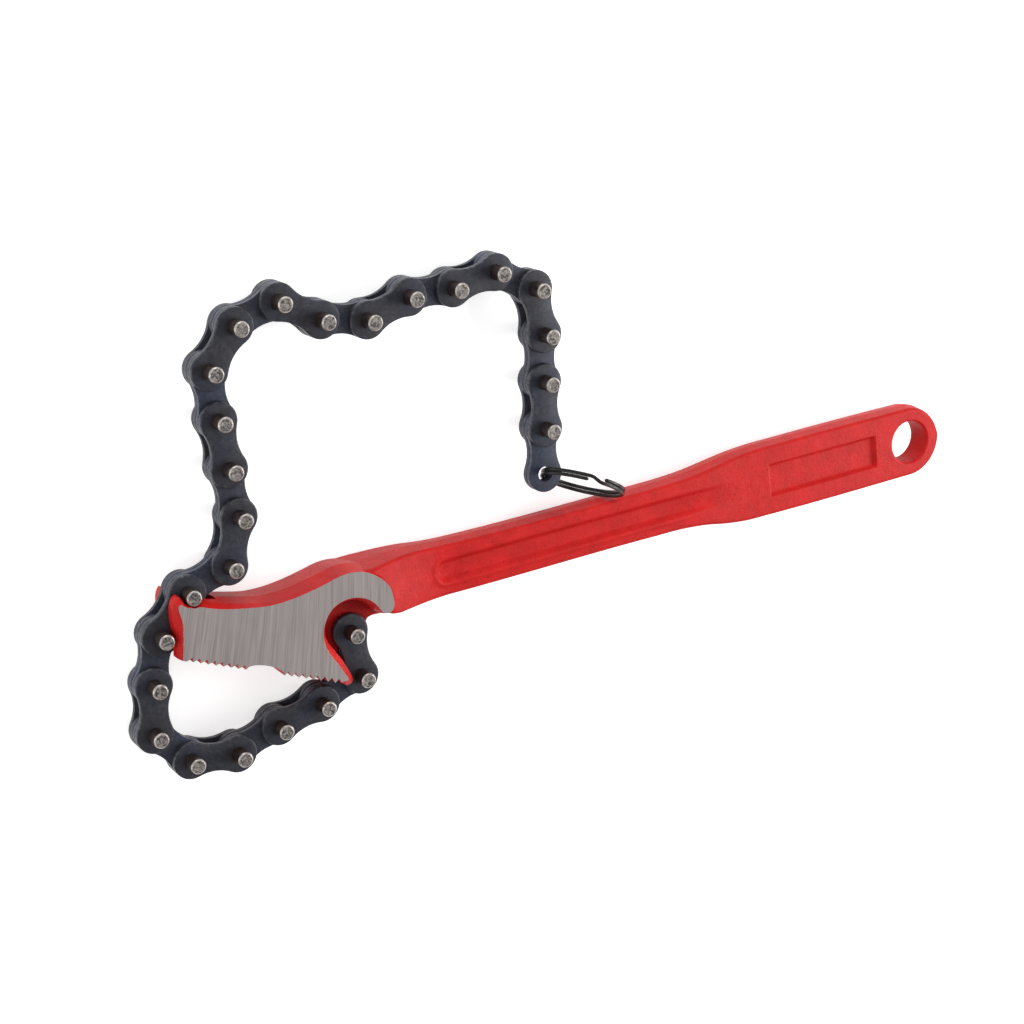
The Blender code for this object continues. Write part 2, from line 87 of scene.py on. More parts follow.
# Head of the forging, counter-clockwise from the jaw's left end: the ground face's outline, then the
# painted flank's outline just below it
HEAD_ROWS = (
    (-58.6, 6.4, -59.3, 6.0), (-50.0, 3.3, -50.0, 3.1), (-40.0, -1.1, -40.0, -1.3),
    (-30.0, -5.5, -30.0, -5.7), (-20.0, -9.9, -20.0, -10.1), (-12.0, -13.4, -12.0, -14.4),
    (-9.2, -13.1, -8.8, -15.2), (-7.4, -13.2, -6.2, -15.8), (-6.1, -13.3, -4.0, -15.6),
    (-5.5, -12.8, -3.1, -14.5), (-5.8, -12.1, -3.4, -12.8), (-6.5, -10.8, -4.3, -10.5),
    (-7.9, -7.8, -5.6, -7.4), (-9.4, -5.2, -7.1, -4.6), (-10.7, -2.8, -8.7, -1.9),
    (-11.7, 0.2, -9.9, 0.5), (-12.0, 3.2, -10.5, 3.1), (-11.3, 6.8, -10.0, 6.3),
    (-9.4, 10.1, -8.5, 9.1), (-6.6, 12.5, -6.0, 11.2), (-3.0, 13.6, -2.8, 12.2),
    (0.6, 13.5, 0.4, 12.2), (4.0, 12.3, 3.5, 11.1), (6.7, 10.2, 6.1, 9.2),
    (8.5, 7.6, 8.0, 6.9), (9.8, 5.9, 9.6, 5.3), (11.1, 5.3, 11.2, 4.8), (12.6, 5.6, 12.9, 5.2),
    (13.6, 7.0, 14.0, 6.8), (13.8, 9.2, 14.2, 9.2), (13.1, 13.5, 13.4, 13.7),
    (10.6, 17.1, 10.8, 17.4), (6.5, 20.3, 6.7, 20.7), (2.0, 21.8, 2.1, 22.1),
    (-3.0, 21.9, -3.0, 22.2), (-8.6, 20.7, -8.7, 21.05), (-13.2, 19.75, -13.3, 20.15),
    (-18.2, 18.95, -18.3, 19.4), (-23.5, 18.5, -23.5, 19.0), (-29.0, 18.55, -28.9, 19.2),
    (-34.0, 19.35, -33.8, 20.2), (-39.0, 20.3, -38.7, 21.5), (-43.5, 21.4, -43.2, 22.7),
    (-47.6, 22.8, -47.3, 23.9), (-50.9, 24.1, -50.7, 24.7), (-53.4, 24.6, -53.2, 24.9),
    (-55.0, 25.0, -55.0, 25.6), (-56.0, 25.7, -55.5, 26.9), (-56.9, 26.4, -56.3, 28.1),
    (-57.5, 26.4, -57.2, 28.1), (-57.9, 25.6, -58.2, 27.1), (-57.8, 24.2, -59.0, 25.4),
    (-57.5, 22.6, -59.4, 23.2), (-57.3, 20.6, -59.6, 20.5), (-57.5, 18.0, -59.5, 18.0),
    (-57.9, 15.2, -59.5, 15.2), (-58.4, 12.2, -59.7, 12.0), (-59.0, 9.6, -60.0, 9.2),
    (-59.2, 7.8, -60.2, 7.2),
)

# The jaw's tooth line and its two rows: first root, number of teeth, share of the pitch to the point
JAW_START = (-57.9, 8.05)
JAW_TILT = -23.7
TOOTH_ROWS = ((1.5, 8, 0.2), (34.8, 8, 0.62))
RELIEF_DEPTH = 2.3

# Neck, shank and grip: upper and lower edge by X, and where the neck starts inside the head, by the
# share of its width
UPPER_EDGE = ((-8, 20.2), (-3, 20.9), (1, 21.1), (9, 21.3), (18, 21.8), (24, 21.8), (30, 21.3),
              (38, 20.8), (45, 20.6), (110, 20.6), (124, 20.75), (134, 21.35), (143, 22.6), (152, 23.85),
              (160, 24.45), (172, 24.6), (240, 24.6))
LOWER_EDGE = ((-8, 6.0), (10.5, 5.4), (13, 4.3), (16, 3.5), (20, 3.4), (30, 3.5), (45, 3.4), (116, 3.4),
              (128, 3.2), (137, 2.3), (146, 0.6), (154, -0.4), (164, -0.6), (240, -0.6))
NECK_START = ((-1.0, 11.2), (-0.5, 9.0), (0.0, 5.5), (0.5, 0.0), (1.0, -5.0))
NECK_END = 45.0
SHANK_CORNER = 1.3
HANG_HOLE = (226.4, 12.0)
GRIP_END_RADIUS = 12.6

# The head's rear face and draft: how far the face is drawn in, where the draft is widest, and where and
# to what share it falls towards the left end
REAR_INSET = 0.8
PARTING_HEIGHT = 2.6
DRAFT_FALL = (-58.0, -50.0)
END_DRAFT = 0.15

# The fall of the front face from the hook's circle to the shank, and the change to the grip's thickness
HOOK_CENTRE = (0.5, 9.0)
HOOK_RADIUS = 13.1
NECK_RUN = 24.0
NECK_POWER = 1.7
CHEEK_STEP = 0.12
FLARE_RUN = (130.0, 158.0)

# The shank's groove and the low rims beside it, by X and by the distance from the groove's axis, and the
# sunk panel's ends, half width and wall
SHANK_AXIS = 12.0
GROOVE_START = 36.0
GROOVE_WALL = (2.2, 4.1)
GROOVE_FADE = (120.0, 153.0)
RIM_HEIGHT = 0.28
RIM_PLACE = 4.7
RIM_SPREAD = 0.75
RIM_RISE = (26.0, 34.0)
RIM_FADE = (118.0, 145.0)
RECESS_ENDS = (164.6, 211.2)
RECESS_HALF = 6.1
RECESS_WALL = (-0.1, 1.3)

# The web in the pocket, the fork's root, the spot faces on the web, and the rooms round two pins
WEB_ROWS = (
    (18.0, 3.6), (14.5, 2.1), (11.9, 2.6), (9.1, 2.7), (7.3, 2.1), (6.5, 0.5), (6.0, -1.5), (4.9, -3.8),
    (2.4, -5.5), (-0.8, -6.1), (-3.8, -5.8), (-6.6, -6.6), (-9.5, -6.8), (-13.0, -3.0), (-14.5, 6.0),
    (-10.0, 14.0), (0.0, 17.0), (9.0, 16.0), (16.0, 11.0),
)
FORK_ROOT_X = -44.0
SPOT_RADIUS = 6.7
SPOT_DEPTH = 2.4
SEAT_ROOM = 0.35
ANCHOR_ROOM = 0.12

# The split ring, in degrees: the gap between its ends, where they lie, and how it hangs
RING_GAP = 22.0
RING_START = 116.0
RING_ROLL = 29.0
RING_TIP = -13.0
RING_TURN = -30.0
RING_SQUARENESS = 3.4

# The stage in metres: lamps (name, place, size, power), what they aim at, and the camera
LAMPS = (
    ("key_softbox", (1.05, -0.12, 0.58), 0.75, 12.0),
    ("camera_softbox", (-0.55, 0.30, 1.0), 0.9, 2.6),
    ("left_softbox", (-0.85, 0.05, 0.25), 0.5, 2.4),
    ("upper_softbox", (0.15, 1.05, 0.36), 0.7, 4.5),
)
LAMP_AIM = (0.12, 0.03, 0.0)
FLOOR_GLOW = 0.60
ROOM_GLOW = 0.34
FLOOR_REACH = 4.0
FLOOR_Z = -0.0004
CAMERA_LENS = 80.86
CAMERA_PLACE = (-0.2301, 0.2487, 0.6660)
CAMERA_TURN = ((0.87403, 0.23501, -0.42526), (-0.10669, 0.94671, 0.30389), (0.47402, -0.22024, 0.85253))


class WrenchSizes(bpy.types.PropertyGroup):
    """Sizes of the wrench's own details."""
    head_thickness: FloatProperty(
        name="Head Thickness", description="Distance between the two ground cheek faces",
        default=0.021, unit="LENGTH")
    shank_thickness: FloatProperty(
        name="Shank Thickness", description="Thickness of the shank at its rims",
        default=0.011, unit="LENGTH")
    grip_thickness: FloatProperty(
        name="Grip Thickness", description="Thickness of the flat grip",
        default=0.010, unit="LENGTH")
    web_thickness: FloatProperty(
        name="Web Thickness", description="Thickness of the web that carries the chain",
        default=0.0041, unit="LENGTH")
    fork_width: FloatProperty(
        name="Fork Width", description="Width of the chain's slot between the horns",
        default=0.0093, unit="LENGTH")
    tooth_pitch: FloatProperty(
        name="Tooth Pitch", description="Distance from one jaw tooth to the next",
        default=0.0026, unit="LENGTH")
    tooth_depth: FloatProperty(
        name="Tooth Depth", description="Depth of the jaw teeth",
        default=0.0015, unit="LENGTH")
    groove_depth: FloatProperty(
        name="Groove Depth", description="Depth of the long groove in the shank",
        default=0.0015, unit="LENGTH")
    recess_depth: FloatProperty(
        name="Recess Depth", description="Depth of the bare sunk panel in the grip",
        default=0.0014, unit="LENGTH")
    hang_hole: FloatProperty(
        name="Hang Hole", description="Diameter of the hole in the grip's end",
        default=0.0154, unit="LENGTH")
    link_room: FloatProperty(
        name="Link Room", description="Room left round the first two links under the jaw's tip",
        default=0.0006, unit="LENGTH")
    plate_end_radius: FloatProperty(
        name="Plate End Radius", description="Radius of a link plate's ends",
        default=0.0062, unit="LENGTH")
    plate_waist: FloatProperty(
        name="Plate Waist", description="Width of a link plate at its middle",
        default=0.0091, unit="LENGTH")
    plate_thickness: FloatProperty(
        name="Plate Thickness", description="Thickness of one link plate",
        default=0.002, unit="LENGTH")
    plate_gap: FloatProperty(
        name="Plate Gap", description="Free play between neighbouring plates",
        default=0.0001, unit="LENGTH")
    plate_edge: FloatProperty(
        name="Plate Edge", description="Rounding of a link plate's punched edge",
        default=0.00046, unit="LENGTH")
    plate_burr: FloatProperty(
        name="Plate Burr Side", description="Rounding of the edge that lies against the next plate",
        default=0.0001, unit="LENGTH")
    pin_diameter: FloatProperty(
        name="Pin Diameter", description="Diameter of the chain pins",
        default=0.00508, unit="LENGTH")
    pin_stand_out: FloatProperty(
        name="Pin Stand Out", description="How far a pin stands out of the outer plates",
        default=0.006, unit="LENGTH")
    pin_chamfer: FloatProperty(
        name="Pin Chamfer", description="Chamfer round a pin's end",
        default=0.0005, unit="LENGTH")
    ring_diameter: FloatProperty(
        name="Ring Diameter", description="Outside diameter of the split ring",
        default=0.029, unit="LENGTH")
    ring_wire: FloatProperty(
        name="Ring Wire", description="Thickness of the split ring's wire",
        default=0.0012, unit="LENGTH")
    outline_steps: IntProperty(
        name="Outline Steps", description="Points round a link plate's end",
        default=22, min=6, max=64)


class WrenchFinishes(bpy.types.PropertyGroup):
    """Colours and gloss of the wrench's finishes."""
    red_paint: FloatVectorProperty(
        name="Red Paint", description="Colour of the painted forging",
        subtype="COLOR", size=3, min=0.0, max=1.0, default=(0.58, 0.013, 0.012))
    paint_roughness: FloatProperty(
        name="Paint Roughness", description="How matt the paint is",
        subtype="FACTOR", min=0.0, max=1.0, default=0.42)
    ground_steel: FloatVectorProperty(
        name="Ground Steel", description="Colour of the bare ground cheeks",
        subtype="COLOR", size=3, min=0.0, max=1.0, default=(0.31, 0.272, 0.262))
    blued_steel: FloatVectorProperty(
        name="Blued Steel", description="Colour of the oxide skin on the link plates",
        subtype="COLOR", size=3, min=0.0, max=1.0, default=(0.036, 0.040, 0.060))
    pin_end: FloatVectorProperty(
        name="Pin End", description="Colour of the cut pin ends",
        subtype="COLOR", size=3, min=0.0, max=1.0, default=(0.215, 0.195, 0.180))
    pin_side: FloatVectorProperty(
        name="Pin Side", description="Colour of the oiled sides of the pins",
        subtype="COLOR", size=3, min=0.0, max=1.0, default=(0.030, 0.021, 0.019))
    black_wire: FloatVectorProperty(
        name="Black Wire", description="Colour of the split ring",
        subtype="COLOR", size=3, min=0.0, max=1.0, default=(0.014, 0.013, 0.014))
    floor: FloatVectorProperty(
        name="Floor", description="Colour of the plain floor",
        subtype="COLOR", size=3, min=0.0, max=1.0, default=(0.86, 0.86, 0.86))


def place(points):
    """Drawing millimetres as metres in the frame: the anchor pin's place plus a thousandth of the point."""
    return ANCHOR + np.asarray(points, float) * MM


def smoothstep(x, low, high):
    """0 below low, 1 above high, and 3t^2 - 2t^3 between, for whole arrays."""
    t = np.clip((np.asarray(x, float) - low) / (high - low), 0.0, 1.0)
    return t * t * (3 - 2 * t)


def curve_through(rows, steps, closed):
    """A Catmull-Rom curve: between each two rows the cubic in t whose slope at a row is half the
    difference of its neighbours.  Any number of columns."""
    p = np.asarray(rows, float)
    if closed:
        p = np.vstack([p[-1:], p, p[:2]])
    else:
        p = np.vstack([2 * p[:1] - p[1:2], p, 2 * p[-1:] - p[-2:-1]])
    a, b, c, d = (p[i:len(p) - 3 + i, None, :] for i in range(4))
    t = np.linspace(0, 1, steps, endpoint=False)[None, :, None]
    curve = 0.5 * (2 * b + (c - a) * t + (2 * a - 5 * b + 4 * c - d) * t ** 2
                   + (3 * b - a - 3 * c + d) * t ** 3)
    curve = curve.reshape(-1, p.shape[1])
    return curve if closed else np.vstack([curve, p[-2:-1]])


def edge_at(rows, x):
    """The smooth curve through (X, value) rows, read at the array x: between two rows the cubic whose
    slope at each row is that of the parabola through it and its neighbours."""
    places, values = np.array(rows, float).T
    slopes = np.gradient(values, places)
    i = np.clip(np.searchsorted(places, x, side="right") - 1, 0, len(places) - 2)
    width = places[i + 1] - places[i]
    t = (x - places[i]) / width
    return ((2 * t ** 3 - 3 * t ** 2 + 1) * values[i] + (t ** 3 - 2 * t ** 2 + t) * width * slopes[i]
            + (3 * t ** 2 - 2 * t ** 3) * values[i + 1] + (t ** 3 - t ** 2) * width * slopes[i + 1])


def spaced(curve, step, columns):
    """A closed curve resampled at even steps along the length of two of its columns."""
    loop = np.vstack([curve, curve[:1]])
    run = np.concatenate([[0], np.cumsum(np.linalg.norm(np.diff(loop[:, columns], axis=0), axis=1))])
    count = int(run[-1] / step)
    where = np.linspace(0, run[-1], count, endpoint=False)
    return np.stack([np.interp(where, run, loop[:, k]) for k in range(loop.shape[1])], axis=1)


def outward(loop):
    """Unit normals of a closed counter-clockwise loop: the chord over both neighbours, turned right."""
    along = np.roll(loop, -1, axis=0) - np.roll(loop, 1, axis=0)
    along /= np.maximum(np.linalg.norm(along, axis=1, keepdims=True), 1e-9)
    return np.stack([along[:, 1], -along[:, 0]], axis=1)


def circle(centre, radius, count):
    """Points at even angles on a circle, as (X, Y) rows."""
    angle = np.linspace(0, 2 * np.pi, count, endpoint=False)
    return np.stack([centre[0] + radius * np.cos(angle), centre[1] + radius * np.sin(angle)], axis=1)


def arc(centre, radius, start, end, count):
    """Points on an arc from start to end degrees, both ends included, as (X, Y) rows."""
    angle = np.radians(np.linspace(start, end, count))
    return np.stack([centre[0] + radius * np.cos(angle), centre[1] + radius * np.sin(angle)], axis=1)


def grid_faces(rows, columns, first=0):
    """Quads of a grid whose columns close on themselves, its points numbered row by row."""
    r, c = np.meshgrid(np.arange(rows - 1), np.arange(columns), indexing="ij")
    n = (c + 1) % columns
    low = r * columns
    high = low + columns
    return np.stack([low + c, low + n, high + n, high + c], axis=-1).reshape(-1, 4) + first


def tube_faces(rows, columns, first=0):
    """The quads of such a grid, and an n-gon over each end row."""
    low = np.arange(columns)[::-1] + first
    high = np.arange(columns) + (rows - 1) * columns + first
    return grid_faces(rows, columns, first).tolist() + [low.tolist(), high.tolist()]


def add_object(name, data):
    """A new object in the scene."""
    made = bpy.data.objects.new(name, data)
    bpy.context.scene.collection.objects.link(made)
    return made


def shell_mesh(name, grids):
    """One mesh from closed tubes, each an array of (rows, columns, 3) points in metres."""
    points = []
    faces = []
    first = 0
    for grid in grids:
        rows, columns, _ = grid.shape
        points.append(grid.reshape(-1, 3))
        faces += tube_faces(rows, columns, first)
        first += rows * columns
    mesh = bpy.data.meshes.new(name)
    mesh.from_pydata(np.vstack(points).tolist(), [], faces)
    mesh.validate()
    bm = bmesh.new()
    bm.from_mesh(mesh)
    bmesh.ops.recalc_face_normals(bm, faces=bm.faces)
    bm.to_mesh(mesh)
    bm.free()
    return mesh


def shell(name, grids):
    """The mesh of such tubes as an object."""
    return add_object(name, shell_mesh(name, grids))


def at_height(outline, z):
    """(X, Y) rows with one height added to all."""
    return np.column_stack([outline, np.full(len(outline), z)])


def prism(name, outline, low, high):
    """A straight prism over an (X, Y) outline between two heights, all in drawing millimetres."""
    return shell(name, [place(np.stack([at_height(outline, z) for z in (low, high)]))])


def face_values(mesh, name):
    """A vector of every face, such as its centre, as (X, Y, Z) rows."""
    values = np.zeros(len(mesh.polygons) * 3)
    mesh.polygons.foreach_get(name, values)
    return values.reshape(-1, 3)


def apply_modifiers(piece):
    """The piece with its modifiers worked into its mesh."""
    bpy.context.view_layer.update()
    shown = piece.evaluated_get(bpy.context.evaluated_depsgraph_get())
    mesh = bpy.data.meshes.new_from_object(shown)
    old = piece.data
    piece.modifiers.clear()
    piece.data = mesh
    mesh.name = piece.name
    bpy.data.meshes.remove(old)


def cut(piece, tools, operation="DIFFERENCE"):
    """Each tool taken from the piece in turn, or joined to it, and then thrown away."""
    for tool in tools:
        step = piece.modifiers.new(tool.name, "BOOLEAN")
        step.operation = operation
        step.solver = "MANIFOLD"
        step.object = tool
    apply_modifiers(piece)
    for tool in tools:
        bpy.data.objects.remove(tool, do_unlink=True)


def soften(mesh, degrees):
    """Smooth shading, with edges sharper than the angle kept crisp."""
    mesh.shade_smooth()
    mesh.set_sharp_from_angle(angle=math.radians(degrees))


def head_loft(half):
    """The jaw head: the flank's profile carried along the closed outline.  A point at height z lies on
    the line from the ground outline to the flank outline, at a share that grows from 0 at the ground
    face to 1 at the end of the bevel, and moves out along the normal by the draft, which is largest on
    the parting line and small at the left end, where the chain passes.  Towards the rear face it is
    drawn in again by up to REAR_INSET.  Each level is (height, share, draft)."""
    rows = spaced(curve_through(HEAD_ROWS, 12, True), 0.45, [2, 3])
    ground = rows[:, :2]
    flank = rows[:, 2:]
    normal = outward(flank)
    levels = np.array([(half, 0.0, 0.0), (half - 0.12, 0.06, 0.0), (half - 1.1, 0.48, 0.0),
                       (half - 2.1, 0.91, 0.0), (half - 2.4, 0.99, 0.02), (half - 2.65, 1.0, 0.05),
                       (6.5, 1.0, 0.22), (5.0, 1.0, 0.44), (PARTING_HEIGHT, 1.0, 0.8), (0.0, 1.0, 0.55),
                       (-3.5, 1.0, 0.22), (0.8 - half, 1.0, 0.0), (0.12 - half, 0.06, 0.0),
                       (-half, 0.0, 0.0)])
    z = levels[:, :1]
    share = levels[:, 1, None, None]
    fall = END_DRAFT + (1 - END_DRAFT) * smoothstep(flank[:, :1], *DRAFT_FALL)
    draft = levels[:, 2, None, None] * fall
    drawn_in = REAR_INSET * smoothstep(-z, 4.0, half)[..., None]
    xy = ground + share * (flank - ground) + (draft - drawn_in) * normal
    return place(np.concatenate([xy, np.broadcast_to(z, xy.shape[:2])[..., None]], axis=2))[::-1]


def shank_top(x, y, sizes):
    """Height of the front face over (x, y).  Near the head it falls away from the hook's circle with the
    distance d as (1 - d / NECK_RUN) to the NECK_POWER, CHEEK_STEP below the ground face at most.  Along
    the shank a groove with a round end is sunk, as a smoothstep of the distance from its axis, and its
    rims are a bell curve of that distance; the grip has a sunk panel with sloping walls."""
    shank = sizes.shank_thickness / MM / 2
    grip = sizes.grip_thickness / MM / 2
    cheek = sizes.head_thickness / MM / 2
    away = np.hypot(x - HOOK_CENTRE[0], y - HOOK_CENTRE[1]) - HOOK_RADIUS
    t = np.clip(1 - away / NECK_RUN, 0.0, 1.0)
    top = np.minimum(shank + (cheek - shank) * t ** NECK_POWER, cheek - CHEEK_STEP)
    top += (grip - shank) * smoothstep(x, *FLARE_RUN)
    reach = np.hypot(np.minimum(x - GROOVE_START, 0.0), y - SHANK_AXIS)
    depth = sizes.groove_depth / MM * (1 - smoothstep(x, *GROOVE_FADE))
    top -= depth * (1 - smoothstep(reach, *GROOVE_WALL))
    rim = RIM_HEIGHT * np.exp(-((reach - RIM_PLACE) / RIM_SPREAD) ** 2) * (1 - smoothstep(x, *RIM_FADE))
    top += rim * smoothstep(x, *RIM_RISE)
    from_ends = np.minimum(x - RECESS_ENDS[0], RECESS_ENDS[1] - x)
    inside = np.minimum(from_ends, RECESS_HALF - np.abs(y - SHANK_AXIS))
    top -= sizes.recess_depth / MM * smoothstep(inside, *RECESS_WALL)
    return top


def shank_loft(sizes):
    """Neck, shank and grip: a section with rounded corners carried along X.  Across the front face y is
    shared out between the lower and the upper edge; round a corner the section turns through a quarter
    circle; down a side it leans out to the parting line.  The rear half mirrors the front half."""
    run = np.concatenate([np.linspace(0, 1, 60, endpoint=False), 1 + np.linspace(0, 1, 430)])
    across = np.concatenate([[-1.0], np.linspace(-0.9, 0.9, 45), [1.0]])
    start = np.array(NECK_START)
    first_x = np.interp(across, start[:, 0], start[:, 1])
    last_x = HANG_HOLE[0] + GRIP_END_RADIUS - 0.02
    x = np.where(run[:, None] < 1, first_x + (NECK_END - first_x) * run[:, None],
                 NECK_END + (last_x - NECK_END) * (run[:, None] - 1))
    upper = edge_at(UPPER_EDGE, x)
    lower = edge_at(LOWER_EDGE, x)
    past = np.clip((x - HANG_HOLE[0]) / GRIP_END_RADIUS, 0.0, 1.0)
    shrink = np.sqrt(1 - past ** 2)
    middle = (upper + lower) / 2
    half = (upper - lower) / 2 * shrink
    corner = np.minimum(SHANK_CORNER, half * 0.45)
    y = middle + across * (half - corner)
    top = shank_top(x, y, sizes)
    front = np.stack([x, y, top], axis=2)
    turn = np.radians(np.linspace(10, 90, 9))
    pieces = []
    for side in (-1, 1):
        column = 0 if side < 0 else -1
        cx = x[:, column, None]
        cy = (middle + side * (half - corner))[:, column, None]
        r = corner[:, column, None]
        edge = top[:, column, None]
        round_y = cy + side * r * np.sin(turn)
        round_z = edge - r * (1 - np.cos(turn))
        share = np.array([0.8, 0.6, 0.4, 0.2, 0.06])
        wall_z = (edge - r) * share
        lean = 0.5 * np.minimum(1.0, half[:, column, None] / 4)
        wall_y = cy + side * (r + lean * (1 - share))
        strip_y = np.concatenate([round_y, wall_y], axis=1)
        strip_z = np.concatenate([round_z, wall_z], axis=1)
        pieces.append(np.stack([np.broadcast_to(cx, strip_y.shape), strip_y, strip_z], axis=2))
    upper_half = np.concatenate([pieces[0][:, ::-1], front, pieces[1]], axis=1)
    lower_half = upper_half[:, ::-1] * np.array([1, 1, -1])
    return place(np.concatenate([upper_half, lower_half], axis=1))


def web_loft(sizes):
    """The web in the pocket: its outline carried straight through the thickness, with eased edges."""
    outline = spaced(curve_through(WEB_ROWS, 10, True), 0.5, [0, 1])[::-1]
    if np.cross(outline[1] - outline[0], outline[2] - outline[1]) < 0:
        outline = outline[::-1]
    half = sizes.web_thickness / MM / 2
    normal = outward(outline)
    levels = ((-half - 0.05, -0.5), (-half + 0.5, 0.0), (half - 0.5, 0.0), (half + 0.05, -0.5))
    return place(np.stack([at_height(outline + normal * grow, z) for z, grow in levels]))


def jaw_point(along, above):
    """A point by its distance along the tooth line from the left end and its height square to it."""
    tilt = math.radians(JAW_TILT)
    return (JAW_START[0] + along * math.cos(tilt) - above * math.sin(tilt),
            JAW_START[1] + along * math.sin(tilt) + above * math.cos(tilt))


def jaw_cutter(sizes):
    """Everything below the tooth line: two rows of raked saw teeth with a plain round relief between."""
    pitch = sizes.tooth_pitch / MM
    depth = sizes.tooth_depth / MM
    rows = []
    for start, count, share in TOOTH_ROWS:
        row = []
        for i in range(count):
            row.append(jaw_point(start + i * pitch, depth))
            row.append(jaw_point(start + (i + share) * pitch, 0))
        rows.append(row)
    left_end = TOOTH_ROWS[0][0] + pitch * (TOOTH_ROWS[0][1] - 1 + TOOTH_ROWS[0][2])
    right_start = TOOTH_ROWS[1][0] - pitch * (1 - TOOTH_ROWS[1][2])
    middle = (left_end + right_start) / 2
    half = (right_start - left_end) / 2
    relief = [jaw_point(middle + half * math.sin(a), RELIEF_DEPTH * math.cos(a))
              for a in np.radians(np.linspace(-66, 66, 23))]
    outline = [jaw_point(-9, -9), jaw_point(-9, -0.35), jaw_point(0.0, -0.05)] + rows[0] + relief
    outline += [jaw_point(right_start, 0)] + rows[1]
    outline += [jaw_point(55.6, 0.0), jaw_point(57.2, -0.7), jaw_point(66, -1.2), jaw_point(66, -9)]
    return prism("jaw_cutter", np.array(outline)[::-1], -13, 13)


def fork_cutter(sizes):
    """The chain's slot through the left end, open to the left, top and bottom, with a slanted root."""
    half = sizes.fork_width / MM / 2
    outline = np.vstack([
        [(-75.0, 42.0), (-75.0, -10.0), (FORK_ROOT_X - 2.0, -10.0), (FORK_ROOT_X, 4.0)],
        curve_through([(FORK_ROOT_X, 4.0), (FORK_ROOT_X, 20.0), (FORK_ROOT_X + 2.5, 42.0)], 8, False)[1:],
    ])
    return prism("fork_cutter", outline, -half, half)


def link_cutters(sizes):
    """Room for the first two links beside and under the jaw's tip: their plates' outlines, grown, through
    the layers in which they lie."""
    outline = plate_outline(sizes)
    outline = (outline + outward(outline) * sizes.link_room) / MM
    thick = sizes.plate_thickness / MM
    far = 2 * thick + 0.5
    layers = {1: ((thick, far), (-far, -thick)), 2: ((-far, far),)}
    tools = []
    for number, pin, heading in pin_rows()[:2]:
        turn = np.array([[np.cos(heading), np.sin(heading)], [-np.sin(heading), np.cos(heading)]])
        placed = outline @ turn + (pin - ANCHOR)[:2] / MM
        tools += [prism(f"link_room_{number}", placed, low, high) for low, high in layers[number]]
    return tools


def hole_cutter(sizes):
    """The hang hole with rounded rims: circles whose radius grows as a quarter circle at both faces."""
    radius = sizes.hang_hole / MM / 2
    half = sizes.grip_thickness / MM / 2
    ease = 0.9
    turn = np.radians(np.linspace(0, 90, 8))
    z = np.concatenate([[half + 1.0], half - ease + ease * np.sin(turn[::-1])])
    grow = np.concatenate([[ease + 0.6], ease * (1 - np.cos(turn[::-1]))])
    z = np.concatenate([-z, z[::-1]])
    grow = np.concatenate([grow, grow[::-1]])
    levels = [at_height(circle(HANG_HOLE, radius + g, 72), height) for height, g in zip(z, grow)]
    return shell("hole_cutter", [place(np.stack(levels))])


def finish_base(name, colour, roughness, metallic):
    """A material with a Principled shader, and its tree."""
    made = bpy.data.materials.get("wrench_" + name) or bpy.data.materials.new("wrench_" + name)
    made.use_nodes = True
    tree = made.node_tree
    tree.nodes.clear()
    shader = tree.nodes.new("ShaderNodeBsdfPrincipled")
    output = tree.nodes.new("ShaderNodeOutputMaterial")
    tree.links.new(shader.outputs["BSDF"], output.inputs["Surface"])
    shader.inputs["Base Color"].default_value = (*colour, 1.0)
    shader.inputs["Roughness"].default_value = roughness
    shader.inputs["Metallic"].default_value = metallic
    made.diffuse_color = (*colour, 1.0)
    return made, tree, shader


def axis(tree, index):
    """One axis of the Object coordinates, in metres."""
    where = tree.nodes.new("ShaderNodeTexCoord")
    parts = tree.nodes.new("ShaderNodeSeparateXYZ")
    tree.links.new(where.outputs["Object"], parts.inputs["Vector"])
    return parts.outputs[index]


def noise(tree, scale, detail=3.0, roughness=0.5, distortion=0.0, where=None):
    """Noise in cells per metre on Object coordinates, or on a vector of one's own; its 0 to 1 value."""
    if where is None:
        where = tree.nodes.new("ShaderNodeTexCoord").outputs["Object"]
    texture = tree.nodes.new("ShaderNodeTexNoise")
    texture.inputs["Scale"].default_value = scale
    texture.inputs["Detail"].default_value = detail
    texture.inputs["Roughness"].default_value = roughness
    texture.inputs["Distortion"].default_value = distortion
    tree.links.new(where, texture.inputs["Vector"])
    return texture.outputs["Fac"]


def spread(tree, value, low, high, to_low, to_high):
    """A value mapped from one range to another and held inside it."""
    node = tree.nodes.new("ShaderNodeMapRange")
    node.inputs["From Min"].default_value = low
    node.inputs["From Max"].default_value = high
    node.inputs["To Min"].default_value = to_low
    node.inputs["To Max"].default_value = to_high
    tree.links.new(value, node.inputs["Value"])
    return node.outputs["Result"]


def blend(tree, factor, first, second, kind="MIX"):
    """Two colours mixed by a factor; each is a socket or three numbers."""
    node = tree.nodes.new("ShaderNodeMix")
    node.data_type = "RGBA"
    node.blend_type = kind
    for name, value in (("A", first), ("B", second)):
        socket = next(s for s in node.inputs if s.name == name and s.type == "RGBA")
        if isinstance(value, bpy.types.NodeSocket):
            tree.links.new(value, socket)
        else:
            socket.default_value = (*value, 1.0)
    factor_socket = node.inputs["Factor"]
    if isinstance(factor, bpy.types.NodeSocket):
        tree.links.new(factor, factor_socket)
    else:
        factor_socket.default_value = factor
    return next(s for s in node.outputs if s.type == "RGBA")


def combine(tree, kind, first, second):
    """One step of arithmetic; each side is a socket or a number."""
    node = tree.nodes.new("ShaderNodeMath")
    node.operation = kind
    for i, value in enumerate((first, second)):
        if isinstance(value, bpy.types.NodeSocket):
            tree.links.new(value, node.inputs[i])
        else:
            node.inputs[i].default_value = value
    return node.outputs["Value"]


